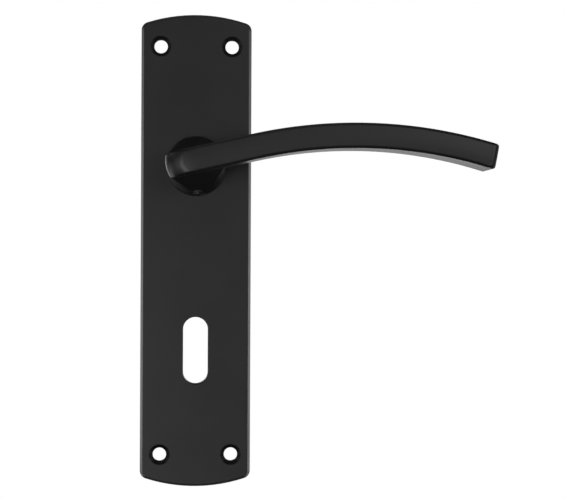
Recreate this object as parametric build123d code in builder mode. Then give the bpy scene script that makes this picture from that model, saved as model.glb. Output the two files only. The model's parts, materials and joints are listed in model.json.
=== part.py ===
from build123d import *

import os
from math import asin, cos, degrees, radians, sin

# A sprung lever handle on a long backplate, for one side of a door.
#
# The origin is on the spindle's axis, at the face of the door. +X runs along the lever, +Y goes into
# the door and +Z is up. A "level" is a distance in front of the door's face, so a negative level is
# inside the door. Sizes are in millimetres.

# ---------------------------------------------------------------- backplate
plate_width = 42.0
plate_top = 58.0
plate_bottom = -122.0
plate_depth = 11.0
end_arc_radius = 61.0
corner_radius = 3.2
least_corner_radius = 1.0
front_wall = 3.0
side_wall = 2.2
floor_level = plate_depth - front_wall
bevel_inward = 1.1
bevel_rearward = 3.7

screw_spacing_x = 27.0
screw_spacing_z = 155.0
screw_centre_z = -32.0
face_screw_grid = (screw_spacing_x, screw_spacing_z, 2, 2)
screw_hole_radius = 2.55
countersink_radius = 3.95
countersink_angle = 90
pillar_radius = 5.25
pillar_bore_radius = 3.75

keyhole_z = -70.0
keyhole_width = 9.4
keyhole_height = 25.5
keyhole_rim = 1.6
keyhole_rim_height = 2.0

rib_levels = 4.0
rib_thickness = 1.6
rib_places = (-40.0, -94.0)
ejector_mark_radius = 2.0
ejector_mark_depth = 0.2
ejector_marks = ((0, 46), (-14, -52), (14, -52), (-14, -84), (14, -84), (0, -108))
soft_edge = 0.3

# ---------------------------------------------------------------- lever
grip_height = 9.1
grip_front_level = 52.0
grip_crown_radius = 50.0
grip_slope = 12.9
grip_offset = 0.4
grip_straight = 21.3
grip_bow_radius = 168.6
grip_bow_angle = 36.0
grip_depth_neck = 17.0
grip_depth_tip = 22.5
grip_length = 107.7
tip_lean = 10.3
tip_cut_z = 1.0
edge_radius = 1.1
tip_edge_radius = 2.0
inner_bend_radius = 9.0
grip_root_level = 22.0
cutter_reach = 50.0
selection_band = 0.02
back_edge_radius = 0.8

neck_radius = 11.0
bend_radius = 7.05
neck_top_level = 42.0
neck_base_radius = 11.1
neck_base_flat = 10.9
boss_radius = 11.3
boss_height = 3.0
boss_edge_radius = 0.4
boss_gap = 0.15
boss_back_level = plate_depth + boss_gap
boss_front_level = boss_back_level + boss_height

# ---------------------------------------------------------------- journal, spindle and grub screw
journal_radius = 8.0
journal_rear_radius = 6.95
journal_end_level = -4.2
journal_chamfer = 0.4
drive_flat = 6.95
running_gap = 0.05
fitting_gap = 0.03

spindle_side = 8.0
spindle_length = 95.0
spindle_front_level = 26.0
spindle_chamfer = 0.4
socket_side = 8.1
socket_end_gap = 0.5

grub_radius = 2.5
grub_length = 6.0
grub_level = 18.0
grub_socket_flats = 2.5
grub_socket_depth = 2.5
grub_chamfer = 0.5

# ---------------------------------------------------------------- spring mechanism
hub_radius = 11.5
hub_level = 4.0
bush_radius = 10.0
bush_flange_radius = 10.9
bush_flange_thickness = 0.8
bush_flange_proud = 0.1

sheet = 1.0
cup_inner_radius = 15.4
cup_flange_radius = 17.8
cup_flange_level = 6.0
cup_bend_radius = 0.8
ear_x = 11.5
ear_z = 17.6
ear_radius = 3.3
ear_grid = (2 * ear_x, 2 * ear_z, 2, 2)
ear_root_radius = 1.5
housing_screw_radius = 1.5
housing_screw_depth = 2.9
housing_screw_head_radius = 2.75
housing_screw_head_height = 1.6
housing_screw_slot = 0.8
head_edge_radius = 0.4

wire = 1.5
coil_radius = 13.35
coil_turns = 2.25
coil_pitch = 1.52
coil_front_level = 7.9
tang_front_length = 2.2
tang_rear_length = 2.2
tang_angle = 0.0

drive_plate_level = 1.1
drive_plate_thickness = 1.5
drive_plate_radius = 10.8
stop_ear_reach = 14.8
stop_ear_half_width = 3.0
lever_travel = 45.0
tang_lobe_radius = 1.7
tang_hole_radius = 0.85
shim_thickness = 0.3
shim_inner_radius = 12.0
shim_outer_radius = 14.6

stop_pin_radius = 1.0
stop_pin_length = 2.5
stop_pin_circle = 12.9
buffer_radius = 1.8
buffer_gap = 0.04

rear_bush_radius = 8.6
rear_bush_flange_radius = 10.2
rear_bush_flange_thickness = 0.8
thrust_washer_thickness = 0.5
washer_radius = 9.8
bowed_washer_thickness = 0.4
bowed_washer_height = 0.9
circlip_thickness = 1.0
circlip_groove_radius = 6.5
circlip_outer_radius = 8.3
circlip_offset = 0.35
circlip_gap = 3.4
circlip_lug_radius = 1.7
circlip_lug_hole = 0.8
circlip_lug_angle = 24.0

os.makedirs("parts", exist_ok=True)


def level_plane(level):
    """Plane parallel to the door, facing forward: its x is +X and its y is +Z."""
    return Plane.XZ.offset(level)


def polar(radius, angle):
    """Point at a radius and an angle in degrees, anticlockwise from +X as seen from the front."""
    return (radius * cos(radians(angle)), radius * sin(radians(angle)))


def save(piece, name):
    """Label a finished piece and write its STEP file."""
    piece.part.label = name
    export_step(piece.part, f"parts/{name}.step")


# Directions of the grip where it leaves the neck: along it, and square to it in the door's plane.
along_grip = (cos(radians(grip_slope)), 0, sin(radians(grip_slope)))
across_grip = (-sin(radians(grip_slope)), 0, cos(radians(grip_slope)))
plan_plane = Plane(origin=(0, 0, 0), x_dir=along_grip, z_dir=across_grip)

# The grip and the top of the neck are centred a little above the spindle's axis.
grip_start_x, grip_start_z = polar(grip_offset, 90 + grip_slope)
crown_lead = 2 * neck_radius
crown_start = (grip_start_x - crown_lead * along_grip[0], grip_start_z - crown_lead * along_grip[2])

# Levels of the mechanism, worked out from front to rear.
coil_height = coil_turns * coil_pitch
coil_rear_level = coil_front_level - coil_height - wire
drive_plate_top = drive_plate_level + drive_plate_thickness
thrust_washer_level = -rear_bush_flange_thickness - running_gap - thrust_washer_thickness
bowed_washer_level = thrust_washer_level - bowed_washer_height
circlip_level = bowed_washer_level - circlip_thickness

# The drive plate's ear swings between the two stop pins.
stop_ear_angle = 90 + lever_travel / 2
stop_offset = degrees(asin((stop_ear_half_width + buffer_radius + buffer_gap) / stop_pin_circle))
rest_pin_angle = stop_ear_angle + stop_offset
travel_pin_angle = stop_ear_angle - lever_travel - stop_offset
front_tang_angle = tang_angle + 360 * coil_turns


def crown_level(distance):
    """Level of the grip's crowned face at a distance from its centre line."""
    return grip_front_level - grip_crown_radius + (grip_crown_radius**2 - distance**2) ** 0.5


def plate_outline(inset):
    """The plate's face: straight sides, bowed ends and rounded corners, drawn in from the edge."""
    half_width = plate_width / 2 - inset
    top = plate_top - inset
    bottom = plate_bottom + inset
    bow = end_arc_radius - (end_arc_radius**2 - half_width**2) ** 0.5
    with BuildLine() as outline:
        Line((half_width, bottom + bow), (half_width, top - bow))
        ThreePointArc((half_width, top - bow), (0, top), (-half_width, top - bow))
        Line((-half_width, top - bow), (-half_width, bottom + bow))
        ThreePointArc((-half_width, bottom + bow), (0, bottom), (half_width, bottom + bow))
    make_face(outline.edges())
    fillet(vertices(), radius=max(corner_radius - inset, least_corner_radius))


# ================================================================ backplate
with BuildPart() as backplate:
    with BuildSketch(level_plane(0)):
        plate_outline(0)
    extrude(amount=plate_depth)
    front_face = backplate.faces().sort_by(Axis.Y)[0]
    chamfer(front_face.edges(), length=bevel_inward, length2=bevel_rearward, reference=front_face)
    fillet(backplate.faces().sort_by(Axis.Y)[0].edges(), radius=soft_edge)

    # hollow back, with pillars behind the face screws
    with BuildSketch(level_plane(0)):
        plate_outline(side_wall)
    extrude(amount=floor_level, mode=Mode.SUBTRACT)
    with BuildSketch(level_plane(0)):
        with Locations((0, screw_centre_z)):
            with GridLocations(*face_screw_grid):
                Circle(pillar_radius)
    extrude(amount=floor_level)
    with BuildSketch(level_plane(0)):
        with Locations((0, screw_centre_z)):
            with GridLocations(*face_screw_grid):
                Circle(pillar_bore_radius)
    extrude(amount=floor_level, mode=Mode.SUBTRACT)
    with Locations(level_plane(plate_depth)):
        with Locations((0, screw_centre_z)):
            with GridLocations(*face_screw_grid):
                CounterSinkHole(screw_hole_radius, countersink_radius, plate_depth, countersink_angle)

    # cross ribs, and a raised rim round the keyhole
    with BuildSketch(level_plane(floor_level)):
        for rib_z in rib_places:
            with Locations((0, rib_z)):
                Rectangle(plate_width - 2 * side_wall, rib_thickness)
    extrude(amount=-rib_levels)
    with BuildSketch(level_plane(floor_level)):
        with Locations((0, keyhole_z)):
            SlotOverall(keyhole_height + 2 * keyhole_rim, keyhole_width + 2 * keyhole_rim, rotation=90)
    extrude(amount=-keyhole_rim_height)
    with BuildSketch(level_plane(0)):
        with Locations((0, keyhole_z)):
            SlotOverall(keyhole_height, keyhole_width, rotation=90)
    extrude(amount=plate_depth, mode=Mode.SUBTRACT)
    keyhole_rims = backplate.faces().sort_by(Axis.Y)[0].inner_wires()
    fillet(keyhole_rims.sort_by(SortBy.LENGTH)[-1].edges(), radius=soft_edge)

    # shallow round marks that the ejector pins leave on the inside of the casting
    with BuildSketch(level_plane(floor_level)):
        with Locations(*ejector_marks):
            Circle(ejector_mark_radius)
    extrude(amount=ejector_mark_depth, mode=Mode.SUBTRACT)

    # hub round the front bush, with a recess for the bush's flange
    with BuildSketch(level_plane(floor_level)):
        Circle(hub_radius)
    extrude(amount=hub_level - floor_level)
    with BuildSketch(level_plane(0)):
        Circle(bush_radius)
    extrude(amount=plate_depth, mode=Mode.SUBTRACT)
    with BuildSketch(level_plane(plate_depth)):
        Circle(bush_flange_radius)
    extrude(amount=bush_flange_proud - bush_flange_thickness, mode=Mode.SUBTRACT)

    # pads and blind holes for the housing's screws, and the hole for the spring's fixed tang
    with BuildSketch(level_plane(floor_level)):
        with GridLocations(*ear_grid):
            Circle(ear_radius)
    extrude(amount=cup_flange_level + sheet - floor_level)
    with BuildSketch(level_plane(cup_flange_level + sheet)):
        with GridLocations(*ear_grid):
            Circle(housing_screw_radius)
    extrude(amount=housing_screw_depth, mode=Mode.SUBTRACT)
    with BuildSketch(level_plane(floor_level)):
        with Locations(polar(coil_radius, front_tang_angle)):
            Circle(tang_hole_radius)
    extrude(amount=tang_front_length - wire / 2, mode=Mode.SUBTRACT)
save(backplate, "backplate")

# ================================================================ lever handle
# the round neck end, with a domed top and rounded rim, pinched to the grip's height
with BuildPart() as neck_end:
    with BuildSketch(level_plane(grip_root_level)):
        Circle(neck_radius)
    extrude(amount=grip_front_level)
    with Locations((0, grip_crown_radius - grip_front_level, 0)):
        Sphere(grip_crown_radius, mode=Mode.INTERSECT)
    fillet(neck_end.edges().sort_by(Axis.Y)[0], radius=bend_radius)
    with BuildSketch(level_plane(0)):
        Rectangle(4 * neck_radius, grip_height, rotation=grip_slope)
    extrude(amount=grip_front_level, mode=Mode.INTERSECT)
    split(bisect_by=Plane(origin=(0, 0, 0), z_dir=along_grip), keep=Keep.BOTTOM)

# the crown of the grip's face: an arched block run along the grip's centre line
with BuildPart() as crown:
    with BuildLine(level_plane(0)) as crown_line:
        lead = PolarLine(crown_start, crown_lead + grip_straight, grip_slope)
        JernArc(lead @ 1, lead % 1, grip_bow_radius, -grip_bow_angle)
    with BuildSketch(Plane(origin=crown_line.line @ 0, x_dir=across_grip, z_dir=along_grip)):
        with BuildLine():
            arch_level = crown_level(neck_radius)
            ThreePointArc((-neck_radius, arch_level), (0, grip_front_level), (neck_radius, arch_level))
            Polyline(
                (neck_radius, arch_level),
                (neck_radius, 0),
                (-neck_radius, 0),
                (-neck_radius, arch_level),
            )
        make_face()
    sweep(path=crown_line.line)

# the bowed grip: its outline from above, cut to its outline from the front and then crowned
with BuildPart() as grip:
    with BuildSketch(plan_plane) as plan:
        inner_bend = (neck_radius, grip_depth_neck - grip_front_level)
        with BuildLine():
            Polyline(
                (0, -grip_front_level),
                (0, -grip_root_level),
                (neck_radius, -grip_root_level),
                inner_bend,
                (grip_length + neck_radius, grip_depth_tip - grip_front_level),
                (grip_length + neck_radius, -grip_front_level),
                close=True,
            )
        make_face()
        fillet(plan.vertices().sort_by_distance(inner_bend)[0], radius=inner_bend_radius)
    extrude(amount=cutter_reach, both=True)
    with BuildSketch(level_plane(0)):
        with BuildLine():
            straight = PolarLine((grip_start_x, grip_start_z), grip_straight, grip_slope)
            JernArc(straight @ 1, straight % 1, grip_bow_radius, -grip_bow_angle)
        trace(line_width=grip_height)
        with Locations((grip_length, tip_cut_z)):
            Rectangle(
                cutter_reach,
                cutter_reach,
                rotation=-tip_lean,
                align=(Align.MIN, Align.CENTER),
                mode=Mode.SUBTRACT,
            )
    extrude(amount=grip_front_level, mode=Mode.INTERSECT)
    with Locations((grip_start_x, 0, grip_start_z)):
        add(neck_end.part)
    add(crown.part, mode=Mode.INTERSECT)

    # rounded edges: the end face first, then the long edges round the grip's face and back
    end_face = grip.faces().filter_by(GeomType.PLANE).sort_by(Axis.X)[-1]
    fillet(end_face.edges().sort_by(Axis.Y)[0], radius=tip_edge_radius)
    edge_y = -crown_level(grip_height / 2)
    face_edges = grip.edges().filter_by_position(Axis.Y, edge_y - selection_band, edge_y + selection_band)
    fillet(face_edges, radius=edge_radius)
    fillet(grip.edges().filter_by(GeomType.ELLIPSE).sort_by(SortBy.LENGTH)[-2:], radius=back_edge_radius)

# the tapered neck: round at the boss, flat-sided where it meets the grip
with BuildPart() as neck:
    for level, radius, flat, middle in (
        (boss_front_level - boss_edge_radius, neck_base_radius, neck_base_flat, (0, 0)),
        (neck_top_level, neck_radius, grip_height / 2, (grip_start_x, grip_start_z)),
    ):
        with BuildSketch(level_plane(level)):
            with Locations(middle):
                Circle(radius)
                Rectangle(4 * radius, 2 * flat, rotation=grip_slope, mode=Mode.INTERSECT)
            fillet(vertices(), radius=edge_radius)
    loft(ruled=True)

with BuildPart() as lever_handle:
    # boss ring on the plate
    with BuildSketch(level_plane(boss_back_level)):
        Circle(boss_radius)
    extrude(amount=boss_height)
    fillet(lever_handle.faces().sort_by(Axis.Y)[0].edges(), radius=boss_edge_radius)
    add(neck.part)
    add(grip.part)

    # journal: large in the front bush, two flats for the drive plate, smaller in the rear bush
    with BuildSketch(level_plane(boss_back_level)):
        Circle(journal_radius)
    extrude(amount=drive_plate_top + fitting_gap - boss_back_level)
    with BuildSketch(level_plane(drive_plate_top + fitting_gap)):
        Circle(journal_radius)
        Rectangle(2 * journal_radius, 2 * drive_flat, mode=Mode.INTERSECT)
    extrude(amount=-drive_plate_thickness - fitting_gap)
    with BuildSketch(level_plane(drive_plate_level)):
        Circle(journal_rear_radius)
    extrude(amount=journal_end_level - drive_plate_level)
    chamfer(lever_handle.faces().sort_by(Axis.Y)[-1].edges(), length=journal_chamfer)
    with BuildSketch(level_plane(circlip_level + circlip_thickness + fitting_gap)):
        Circle(journal_rear_radius)
        Circle(circlip_groove_radius, mode=Mode.SUBTRACT)
    extrude(amount=-circlip_thickness - 2 * fitting_gap, mode=Mode.SUBTRACT)

    # square socket for the spindle, and the grub screw's hole from below
    with BuildSketch(level_plane(journal_end_level)):
        Rectangle(socket_side, socket_side)
    extrude(amount=spindle_front_level + socket_end_gap - journal_end_level, mode=Mode.SUBTRACT)
    with BuildSketch(Plane.XY.offset(-boss_radius)):
        with Locations((0, -grub_level)):
            Circle(grub_radius)
    extrude(amount=boss_radius - spindle_side / 4, mode=Mode.SUBTRACT)
save(lever_handle, "lever_handle")

# ================================================================ spindle and grub screw
with BuildPart() as spindle:
    with BuildSketch(level_plane(spindle_front_level)):
        Rectangle(spindle_side, spindle_side)
    extrude(amount=-spindle_length)
    chamfer(spindle.edges().filter_by(Axis.Y), length=spindle_chamfer)
    chamfer(spindle.faces().filter_by(Axis.Y).edges(), length=spindle_chamfer)
save(spindle, "spindle")

with BuildPart() as spindle_grub_screw:
    with BuildSketch(Plane.XY.offset(-spindle_side / 2)):
        with Locations((0, -grub_level)):
            Circle(grub_radius)
    extrude(amount=-grub_length)
    chamfer(spindle_grub_screw.edges().sort_by(Axis.Z)[-1], length=grub_chamfer)
    with BuildSketch(Plane.XY.offset(-spindle_side / 2 - grub_length)):
        with Locations((0, -grub_level)):
            RegularPolygon(grub_socket_flats / 2, 6, major_radius=False)
    extrude(amount=grub_socket_depth, mode=Mode.SUBTRACT)
save(spindle_grub_screw, "spindle_grub_screw")

# ================================================================ bearings
with BuildPart() as bearing_bush:
    with BuildSketch(level_plane(plate_depth + bush_flange_proud)):
        Circle(bush_flange_radius)
    extrude(amount=-bush_flange_thickness)
    with BuildSketch(level_plane(plate_depth + bush_flange_proud - bush_flange_thickness)):
        Circle(bush_radius)
    extrude(amount=hub_level - plate_depth - bush_flange_proud + bush_flange_thickness)
    with BuildSketch(level_plane(hub_level)):
        Circle(journal_radius + running_gap)
    extrude(amount=plate_depth, mode=Mode.SUBTRACT)
save(bearing_bush, "bearing_bush")

with BuildPart() as rear_bush:
    with BuildSketch(level_plane(sheet)):
        Circle(rear_bush_radius)
    extrude(amount=-sheet)
    with BuildSketch(level_plane(0)):
        Circle(rear_bush_flange_radius)
    extrude(amount=-rear_bush_flange_thickness)
    with BuildSketch(level_plane(-rear_bush_flange_thickness)):
        Circle(journal_rear_radius + running_gap)
    extrude(amount=plate_depth, mode=Mode.SUBTRACT)
save(rear_bush, "rear_bush")

# ================================================================ spring housing and its screws
with BuildPart() as spring_housing:
    with BuildSketch(level_plane(0)):
        Circle(cup_inner_radius + sheet)
    extrude(amount=cup_flange_level + sheet)
    fillet(spring_housing.faces().sort_by(Axis.Y)[-1].edges(), radius=cup_bend_radius)
    with BuildSketch(level_plane(cup_flange_level)):
        Circle(cup_flange_radius)
        with GridLocations(*ear_grid):
            Circle(ear_radius)
        fillet(vertices(), radius=ear_root_radius)
        with GridLocations(*ear_grid):
            Circle(housing_screw_radius + running_gap, mode=Mode.SUBTRACT)
    extrude(amount=sheet)
    with BuildSketch(level_plane(sheet)):
        Circle(cup_inner_radius)
    extrude(amount=plate_depth, mode=Mode.SUBTRACT)
    with BuildSketch(level_plane(0)):
        Circle(rear_bush_radius)
        with Locations(polar(stop_pin_circle, rest_pin_angle), polar(stop_pin_circle, travel_pin_angle)):
            Circle(stop_pin_radius)
    extrude(amount=sheet, mode=Mode.SUBTRACT)
save(spring_housing, "spring_housing")

with BuildPart() as housing_screws:
    with BuildSketch(level_plane(cup_flange_level)):
        with GridLocations(*ear_grid):
            Circle(housing_screw_radius)
    extrude(amount=sheet + housing_screw_depth)
    with BuildSketch(level_plane(cup_flange_level)):
        with GridLocations(*ear_grid):
            Circle(housing_screw_head_radius)
    extrude(amount=-housing_screw_head_height)
    head_rims = housing_screws.faces().filter_by(Axis.Y).group_by(Axis.Y)[-1].edges()
    fillet(head_rims, radius=head_edge_radius)
    with BuildSketch(level_plane(cup_flange_level - housing_screw_head_height)):
        with GridLocations(*ear_grid):
            for turn in (0, 90):
                Rectangle(2 * housing_screw_radius, housing_screw_slot, rotation=turn)
    extrude(amount=housing_screw_slot, mode=Mode.SUBTRACT)
save(housing_screws, "housing_screws")

# ================================================================ stops
for name, angle in (("rest_stop", rest_pin_angle), ("travel_stop", travel_pin_angle)):
    with BuildPart() as stop_pin:
        with BuildSketch(level_plane(0)):
            with Locations(polar(stop_pin_circle, angle)):
                Circle(stop_pin_radius)
        extrude(amount=stop_pin_length)
    save(stop_pin, f"{name}_pin")
    with BuildPart() as stop_buffer:
        with BuildSketch(level_plane(sheet)):
            with Locations(polar(stop_pin_circle, angle)):
                Circle(buffer_radius)
                Circle(stop_pin_radius, mode=Mode.SUBTRACT)
        extrude(amount=stop_pin_length - sheet)
    save(stop_buffer, f"{name}_buffer")

# ================================================================ drive plate and shim
with BuildPart() as drive_plate:
    with BuildSketch(level_plane(drive_plate_level)):
        Circle(drive_plate_radius)
        with Locations(polar(stop_ear_reach / 2, stop_ear_angle)):
            Rectangle(stop_ear_reach, 2 * stop_ear_half_width, rotation=stop_ear_angle)
        with Locations(polar(coil_radius, tang_angle)):
            Circle(tang_lobe_radius)
        with Locations(polar(coil_radius / 2, tang_angle)):
            Rectangle(coil_radius, 2 * tang_lobe_radius, rotation=tang_angle)
        with BuildSketch(mode=Mode.SUBTRACT):
            Circle(journal_radius + fitting_gap)
            Rectangle(4 * journal_radius, 2 * (drive_flat + fitting_gap), mode=Mode.INTERSECT)
        with Locations(polar(coil_radius, tang_angle)):
            Circle(tang_hole_radius, mode=Mode.SUBTRACT)
    extrude(amount=drive_plate_thickness)
save(drive_plate, "drive_plate")

with BuildPart() as spring_shim:
    with BuildSketch(level_plane(drive_plate_top)):
        Circle(shim_outer_radius)
        Circle(shim_inner_radius, mode=Mode.SUBTRACT)
        with Locations(polar(coil_radius, tang_angle)):
            Circle(tang_hole_radius, mode=Mode.SUBTRACT)
    extrude(amount=shim_thickness)
save(spring_shim, "spring_shim")

# ================================================================ return spring
with BuildPart() as return_spring:
    with BuildLine() as coil_line:
        Helix(
            pitch=coil_pitch,
            height=coil_height,
            radius=coil_radius,
            center=(0, wire / 2 - coil_front_level, 0),
            direction=(0, 1, 0),
        )
    with BuildSketch(Plane(origin=coil_line.line @ 0, z_dir=coil_line.line % 0)):
        Circle(wire / 2)
    sweep(path=coil_line.line)
    with Locations(coil_line.line @ 0, coil_line.line @ 1):
        Sphere(wire / 2)
    with BuildSketch(level_plane(coil_front_level - wire / 2)):
        with Locations(polar(coil_radius, front_tang_angle)):
            Circle(wire / 2)
    extrude(amount=tang_front_length)
    with BuildSketch(level_plane(coil_rear_level + wire / 2)):
        with Locations(polar(coil_radius, tang_angle)):
            Circle(wire / 2)
    extrude(amount=-tang_rear_length)
save(return_spring, "return_spring")

# ================================================================ washers and circlip
with BuildPart() as thrust_washer:
    with BuildSketch(level_plane(thrust_washer_level)):
        Circle(washer_radius)
        Circle(journal_rear_radius + fitting_gap, mode=Mode.SUBTRACT)
    extrude(amount=thrust_washer_thickness)
save(thrust_washer, "thrust_washer")

# one shallow bow across the washer: it touches in the middle at one face, at two sides on the other
with BuildPart() as bowed_washer:
    rear_line = -bowed_washer_level - bowed_washer_thickness / 2
    front_line = rear_line - bowed_washer_height + bowed_washer_thickness
    with BuildSketch(Plane.XY.offset(-washer_radius)):
        with BuildLine():
            ThreePointArc((-washer_radius, front_line), (0, rear_line), (washer_radius, front_line))
        trace(line_width=bowed_washer_thickness)
    extrude(amount=2 * washer_radius)
    with BuildSketch(level_plane(0)):
        Circle(washer_radius)
        Circle(journal_rear_radius + fitting_gap, mode=Mode.SUBTRACT)
    extrude(amount=2 * bowed_washer_level, mode=Mode.INTERSECT)
save(bowed_washer, "bowed_washer")

circlip_lugs = [polar(circlip_outer_radius, 90 + side * circlip_lug_angle) for side in (-1, 1)]
with BuildPart() as retaining_circlip:
    with BuildSketch(level_plane(circlip_level)):
        with Locations((0, -circlip_offset)):
            Circle(circlip_outer_radius)
        with Locations(*circlip_lugs):
            Circle(circlip_lug_radius)
        Circle(circlip_groove_radius, mode=Mode.SUBTRACT)
        with Locations((0, circlip_outer_radius)):
            Rectangle(circlip_gap, 2 * circlip_outer_radius, mode=Mode.SUBTRACT)
        with Locations(*circlip_lugs):
            Circle(circlip_lug_hole, mode=Mode.SUBTRACT)
    extrude(amount=circlip_thickness)
save(retaining_circlip, "retaining_circlip")
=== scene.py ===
"""A sprung lever handle on its backplate, seen from in front against white.

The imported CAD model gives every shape. This script adds the camera, the light, the floor, a
procedural material for each of the record's material slots, and a copy of the return spring.
Lengths are in metres.
"""

import json
from math import cos, pi, radians, sin

import bpy
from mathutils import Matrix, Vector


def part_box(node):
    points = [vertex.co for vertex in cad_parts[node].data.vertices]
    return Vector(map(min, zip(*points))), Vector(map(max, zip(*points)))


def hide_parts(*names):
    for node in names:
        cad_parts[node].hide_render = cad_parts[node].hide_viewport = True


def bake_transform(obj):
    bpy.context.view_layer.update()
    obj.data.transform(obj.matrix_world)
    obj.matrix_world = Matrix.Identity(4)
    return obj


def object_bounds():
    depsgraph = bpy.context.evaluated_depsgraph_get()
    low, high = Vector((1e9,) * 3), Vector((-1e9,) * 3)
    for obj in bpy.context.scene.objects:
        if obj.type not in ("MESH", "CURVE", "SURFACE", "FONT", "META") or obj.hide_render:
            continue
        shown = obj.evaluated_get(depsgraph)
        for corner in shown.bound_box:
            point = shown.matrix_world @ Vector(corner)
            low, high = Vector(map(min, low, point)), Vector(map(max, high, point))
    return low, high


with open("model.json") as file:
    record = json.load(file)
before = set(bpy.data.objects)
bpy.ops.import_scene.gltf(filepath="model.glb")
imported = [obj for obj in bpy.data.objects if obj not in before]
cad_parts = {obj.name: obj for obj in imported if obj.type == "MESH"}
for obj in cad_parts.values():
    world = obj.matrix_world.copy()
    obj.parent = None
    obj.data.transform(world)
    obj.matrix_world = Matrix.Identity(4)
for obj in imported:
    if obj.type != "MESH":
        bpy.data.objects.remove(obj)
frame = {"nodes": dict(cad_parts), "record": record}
cad_low, cad_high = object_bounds()
nodes = frame["nodes"]
scene = bpy.context.scene
scene.view_settings.view_transform = "Standard"
scene.view_settings.look = "None"

# ---------------------------------------------------------------- camera
# Its distance from the backplate's front and its height over the backplate's middle.
CAMERA_DISTANCE = 0.600
CAMERA_RISE = 0.00054
# Its turn towards the lever's tip and its lean, in degrees.
CAMERA_YAW = 3.146
CAMERA_ROLL = -0.25
# In millimetres, as Blender takes them.
LENS = 100.5
SENSOR_WIDTH = 36.0

# ---------------------------------------------------------------- studio
# Each lamp is a round soft patch of light far away: its azimuth from straight ahead towards +X,
# its elevation and the angle from its middle to its edge (degrees), and its strength.
LAMPS = (
    (-54.0, -9.0, 18.0, 0.8),
    (-36.0, -9.0, 18.0, 0.5),
    (-18.0, -9.0, 18.0, 2.85),
    (18.0, 9.0, 18.0, 1.3),
    (31.0, 6.0, 18.0, 1.3),
    (0.0, -27.0, 18.0, 0.3),
    (0.0, 60.0, 22.0, 0.3),
    (180.0, 72.0, 26.0, 0.4),
)
# These stand on both sides.
SIDE_LAMPS = (
    (54.0, -27.0, 18.0, 0.3),
    (54.0, 27.0, 18.0, 0.3),
    (84.0, -18.0, 20.0, 0.5),
    (80.0, 22.0, 18.0, 0.5),
    (108.0, -18.0, 20.0, 0.6),
    (105.0, 22.0, 18.0, 0.5),
    (125.0, -24.0, 18.0, 0.7),
    (143.0, -32.0, 18.0, 0.9),
    (145.0, 0.0, 16.0, 0.6),
    (165.0, -4.0, 16.0, 1.7),
)
# The strength of the light between the lamps, and of the background that the camera sees.
AMBIENT = 0.055
BACKGROUND = 1.0
WHITE = (1.0, 1.0, 1.0, 1.0)

# ---------------------------------------------------------------- floor
FLOOR_GAP = 0.08
FLOOR_RADIUS = 0.34
FLOOR_CORNERS = 96
FLOOR_GREY = 0.85
FLOOR_ROUGHNESS = 0.9
FLOOR_GLOW = 0.85

# ---------------------------------------------------------------- finishes
MICRON = 1e-6
# A finish's broad noise goes from its first tone to its second over this range.
TONE_RANGE = (0.35, 0.65)
WIDE_TONE_RANGE = (0.0, 1.0)
NARROW_TONE_RANGE = (0.4, 0.6)
# Its roughness goes from lowest to highest over this range of its broad and fine noises' sum.
NOISE_SUM_RANGE = (0.7, 1.3)
# Noise detail: how many finer layers a noise has.
PLAIN = 2.0
DETAILED = 3.0
BUMP_STRENGTH = 1.0

# A Mix node has sockets for each type of data. These are its factor and the ones for colours.
MIX_FACTOR = 0
MIX_FIRST = 6
MIX_SECOND = 7
MIX_RESULT = 2


def make_camera():
    """Stands in front of the backplate near its mid height, turned a little to the lever's tip."""
    low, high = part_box("backplate")
    camera = bpy.data.objects.new("camera", bpy.data.cameras.new("camera"))
    scene.collection.objects.link(camera)
    camera.data.sensor_width = SENSOR_WIDTH
    camera.data.lens = LENS
    height = (low.z + high.z) / 2 + CAMERA_RISE
    camera.location = ((low.x + high.x) / 2, low.y - CAMERA_DISTANCE, height)
    camera.rotation_mode = "XYZ"
    camera.rotation_euler = (radians(90), radians(CAMERA_ROLL), radians(-CAMERA_YAW))
    scene.camera = camera


class Tree:
    """A short way to write a node tree: each call adds a node and feeds its inputs."""

    def __init__(self, tree):
        self.tree = tree
        tree.nodes.clear()

    def feed(self, socket, value):
        """Link an output to a socket, or set the socket's own value."""
        if isinstance(value, bpy.types.NodeSocket):
            self.tree.links.new(value, socket)
        else:
            socket.default_value = value

    def node(self, kind, inputs=(), **settings):
        """Add a node. inputs pairs each input's name or number with what feeds it."""
        made = self.tree.nodes.new(kind)
        for name, value in settings.items():
            setattr(made, name, value)
        for key, value in inputs:
            self.feed(made.inputs[key], value)
        return made

    def math(self, operation, first, second):
        """Combine two numbers."""
        made = self.node("ShaderNodeMath", ((0, first), (1, second)), operation=operation)
        return made.outputs[0]

    def remap(self, value, low, high, to_low, to_high, smooth=False):
        """Carry a value from one range to another, held at both ends."""
        made = self.node(
            "ShaderNodeMapRange",
            (
                ("Value", value),
                ("From Min", low),
                ("From Max", high),
                ("To Min", to_low),
                ("To Max", to_high),
            ),
            interpolation_type="SMOOTHSTEP" if smooth else "LINEAR",
        )
        return made.outputs["Result"]

    def noise(self, scale, detail=PLAIN, stretch=(1.0, 1.0, 1.0)):
        """Noise in the object's own metres. A stretch below 1 draws it out along that axis."""
        place = self.node("ShaderNodeTexCoord").outputs["Object"]
        mapping = self.node("ShaderNodeMapping", (("Vector", place), ("Scale", stretch)))
        made = self.node(
            "ShaderNodeTexNoise",
            (("Vector", mapping.outputs[0]), ("Scale", scale), ("Detail", detail)),
        )
        return made.outputs["Fac"]

    def mix(self, factor, first, second):
        """Blend two colours."""
        made = self.node("ShaderNodeMix", data_type="RGBA")
        self.feed(made.inputs[MIX_FACTOR], factor)
        self.feed(made.inputs[MIX_FIRST], first)
        self.feed(made.inputs[MIX_SECOND], second)
        return made.outputs[MIX_RESULT]


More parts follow.
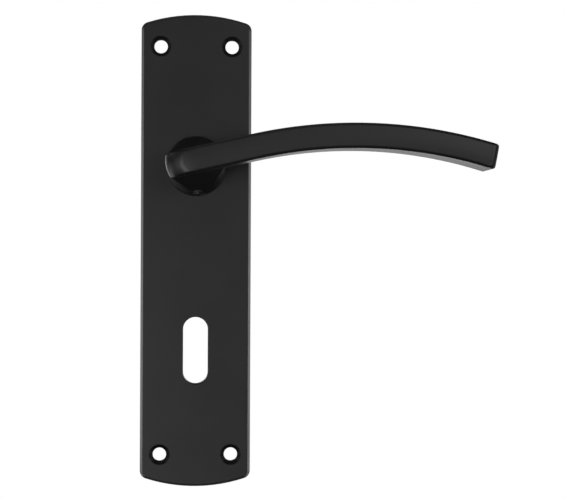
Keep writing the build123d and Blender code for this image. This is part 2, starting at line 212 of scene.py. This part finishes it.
def make_world():
    """Plain white to the camera. The object itself is lit by the soft lamps and a dim ambient."""
    world = bpy.data.worlds.new("studio")
    scene.world = world
    world.use_nodes = True
    tree = Tree(world.node_tree)
    direction = tree.node("ShaderNodeTexCoord").outputs["Generated"]
    total = AMBIENT
    mirrored = tuple((-azimuth, *rest) for azimuth, *rest in SIDE_LAMPS)
    for azimuth, elevation, edge, strength in LAMPS + SIDE_LAMPS + mirrored:
        across = radians(azimuth)
        up = radians(elevation)
        centre = (sin(across) * cos(up), -cos(across) * cos(up), sin(up))
        near = tree.node(
            "ShaderNodeVectorMath", ((0, direction), (1, centre)), operation="DOT_PRODUCT"
        ).outputs["Value"]
        light = tree.remap(near, cos(radians(edge)), 1.0, 0.0, strength, smooth=True)
        total = tree.math("ADD", light, total)
    lit = tree.node("ShaderNodeBackground", (("Color", WHITE), ("Strength", total)))
    seen = tree.node("ShaderNodeBackground", (("Color", WHITE), ("Strength", BACKGROUND)))
    to_camera = tree.node("ShaderNodeLightPath").outputs["Is Camera Ray"]
    mixed = tree.node(
        "ShaderNodeMixShader", ((0, to_camera), (1, lit.outputs[0]), (2, seen.outputs[0]))
    )
    tree.node("ShaderNodeOutputWorld", (("Surface", mixed.outputs[0]),))


def make_floor():
    """A pale disc below the object, partly lit by itself so that it stays near white.

    It neither lights the object nor shows in its reflections.
    """
    level = cad_low[2] - FLOOR_GAP
    middle_x = (cad_low[0] + cad_high[0]) / 2
    middle_y = (cad_low[1] + cad_high[1]) / 2
    turns = [2 * pi * corner / FLOOR_CORNERS for corner in range(FLOOR_CORNERS)]
    corners = [
        (middle_x + FLOOR_RADIUS * cos(turn), middle_y + FLOOR_RADIUS * sin(turn), level)
        for turn in turns
    ]
    mesh = bpy.data.meshes.new("floor")
    mesh.from_pydata(corners, [], [tuple(range(FLOOR_CORNERS))])
    floor = bpy.data.objects.new("floor", mesh)
    scene.collection.objects.link(floor)
    floor.visible_glossy = False
    floor.visible_diffuse = False
    material = bpy.data.materials.new("floor")
    material.use_nodes = True
    tree = Tree(material.node_tree)
    bsdf = tree.node(
        "ShaderNodeBsdfPrincipled",
        (
            ("Base Color", (FLOOR_GREY, FLOOR_GREY, FLOOR_GREY, 1.0)),
            ("Roughness", FLOOR_ROUGHNESS),
            ("Emission Color", WHITE),
            ("Emission Strength", FLOOR_GLOW),
        ),
    )
    tree.node("ShaderNodeOutputMaterial", (("Surface", bsdf.outputs[0]),))
    mesh.materials.append(material)


# ---------------------------------------------------------------- materials
def finish(tree, broad, fine, tones, bumps, roughness, tone_range=TONE_RANGE, **settings):
    """Ends a material. Its broad noise mixes its two tones, and both noises vary its roughness.

    bumps are (height, depth) pairs, laid one on another. settings are more inputs of the shader.
    """
    colour = tree.mix(tree.remap(broad, *tone_range, 0.0, 1.0), *tones)
    gloss = tree.remap(tree.math("ADD", broad, fine), *NOISE_SUM_RANGE, *roughness)
    normal = None
    for height, depth in bumps:
        inputs = [("Height", height), ("Strength", BUMP_STRENGTH), ("Distance", depth)]
        if normal is not None:
            inputs.append(("Normal", normal))
        normal = tree.node("ShaderNodeBump", inputs).outputs[0]
    inputs = [("Base Color", colour), ("Roughness", gloss), ("Normal", normal)]
    inputs += [(name.replace("_", " "), value) for name, value in settings.items()]
    bsdf = tree.node("ShaderNodeBsdfPrincipled", inputs)
    tree.node("ShaderNodeOutputMaterial", (("Surface", bsdf.outputs[0]),))


def grey(level, tint=0.0):
    """A grey with a little blue added."""
    return (level, level, level * (1.0 + tint), 1.0)


def powder_coat(tree):
    """Satin black powder coat: a fine grain over a slight orange peel, and faint clouding."""
    cloud = tree.noise(45.0, DETAILED)
    peel = tree.noise(620.0)
    grain = tree.noise(3400.0)
    tones = (grey(0.0095), grey(0.0125, tint=0.03))
    bumps = ((peel, 10 * MICRON), (grain, 4 * MICRON))
    finish(tree, cloud, grain, tones, bumps, roughness=(0.29, 0.35))


def zinc_plated_bar(tree):
    """Drawn square bar under bright zinc: long fine lines along the bar, and patchy shine."""
    lines = tree.noise(2600.0, DETAILED, stretch=(1.0, 0.012, 1.0))
    patches = tree.noise(130.0, DETAILED, stretch=(1.0, 0.35, 1.0))
    tones = (grey(0.60, tint=0.03), grey(0.68))
    bumps = ((lines, 12 * MICRON),)
    finish(tree, patches, lines, tones, bumps, roughness=(0.24, 0.40), Metallic=1.0)


def zinc_plated_sheet(tree):
    """Pressed sheet under bright zinc, with a fine grain and a faint warm and cool bloom."""
    grain = tree.noise(1700.0, DETAILED)
    bloom = tree.noise(85.0, DETAILED)
    warm = (0.63, 0.61, 0.55, 1.0)
    cool = (0.57, 0.60, 0.66, 1.0)
    bumps = ((grain, 8 * MICRON),)
    finish(
        tree,
        bloom,
        grain,
        (warm, cool),
        bumps,
        roughness=(0.26, 0.42),
        tone_range=(0.38, 0.62),
        Metallic=1.0,
    )


def zinc_plated_screw(tree):
    """Small screws under bright zinc, a little duller in patches."""
    grain = tree.noise(2600.0, DETAILED)
    wear = tree.noise(420.0)
    tones = (grey(0.56), grey(0.70, tint=0.03))
    bumps = ((grain, 6 * MICRON),)
    finish(
        tree,
        wear,
        grain,
        tones,
        bumps,
        roughness=(0.22, 0.38),
        tone_range=NARROW_TONE_RANGE,
        Metallic=1.0,
    )


def blackened_steel(tree):
    """Phosphated and oiled steel: dark, uneven, with a soft oily shine."""
    oil = tree.noise(260.0, DETAILED)
    crystal = tree.noise(5200.0)
    tones = (grey(0.035), grey(0.075, tint=0.06))
    bumps = ((crystal, 5 * MICRON),)
    finish(tree, oil, crystal, tones, bumps, roughness=(0.34, 0.60), Metallic=0.85)


def bright_steel(tree):
    """Ground steel: short fine scratches one way, across the part."""
    scratches = tree.noise(3200.0, DETAILED, stretch=(0.04, 1.0, 1.0))
    stain = tree.noise(170.0, DETAILED)
    tones = (grey(0.50), grey(0.60, tint=0.03))
    bumps = ((scratches, 6 * MICRON),)
    finish(tree, stain, scratches, tones, bumps, roughness=(0.18, 0.34), Metallic=1.0)


def spring_wire(tree):
    """Drawn spring wire: grey, with darker smears of drawing soap."""
    smear = tree.noise(230.0, DETAILED)
    grain = tree.noise(2800.0, DETAILED)
    tones = (grey(0.22, tint=0.05), grey(0.40))
    bumps = ((grain, 6 * MICRON),)
    finish(
        tree,
        smear,
        grain,
        tones,
        bumps,
        roughness=(0.28, 0.46),
        tone_range=NARROW_TONE_RANGE,
        Metallic=1.0,
    )


def black_acetal(tree):
    """Moulded black acetal: nearly smooth, slightly waxy."""
    flow = tree.noise(190.0)
    grain = tree.noise(2400.0)
    tones = (grey(0.018), grey(0.030))
    bumps = ((grain, 4 * MICRON),)
    finish(tree, flow, grain, tones, bumps, roughness=(0.32, 0.44), tone_range=WIDE_TONE_RANGE)


def white_acetal(tree):
    """Moulded natural acetal: milky, with light carried a little way under the surface."""
    flow = tree.noise(190.0)
    grain = tree.noise(2400.0)
    tones = ((0.74, 0.74, 0.70, 1.0), (0.82, 0.82, 0.79, 1.0))
    bumps = ((grain, 4 * MICRON),)
    finish(
        tree,
        flow,
        grain,
        tones,
        bumps,
        roughness=(0.34, 0.46),
        tone_range=WIDE_TONE_RANGE,
        Subsurface_Weight=0.2,
        Subsurface_Scale=0.001,
    )


def buffer_rubber(tree):
    """Moulded rubber: dull, with a dusty bloom."""
    dust = tree.noise(520.0, DETAILED)
    grain = tree.noise(3600.0)
    tones = (grey(0.020), grey(0.042))
    bumps = ((grain, 10 * MICRON),)
    finish(tree, dust, grain, tones, bumps, roughness=(0.62, 0.82), tone_range=(0.4, 0.65))


SLOTS = {
    made.__name__: made
    for made in (
        powder_coat,
        zinc_plated_bar,
        zinc_plated_sheet,
        zinc_plated_screw,
        blackened_steel,
        bright_steel,
        spring_wire,
        black_acetal,
        white_acetal,
        buffer_rubber,
    )
}


def dress_nodes():
    """Give each node the material of its slot in the record."""
    made = {}
    for part in frame["record"]["subparts"]:
        slot = part["material_slot"]
        if slot not in made:
            made[slot] = bpy.data.materials.new(slot)
            made[slot].use_nodes = True
            SLOTS[slot](Tree(made[slot].node_tree))
        materials = nodes[part["node"]].data.materials
        materials.clear()
        materials.append(made[slot])


def wind_spring():
    """The return spring as a piece of its own: a copy of its mesh, shown in place of the original.
    """
    spring = bpy.data.objects.new("wound_spring", nodes["return_spring"].data.copy())
    scene.collection.objects.link(spring)
    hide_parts("return_spring")
    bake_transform(spring)


make_camera()
make_world()
make_floor()
dress_nodes()
wind_spring()
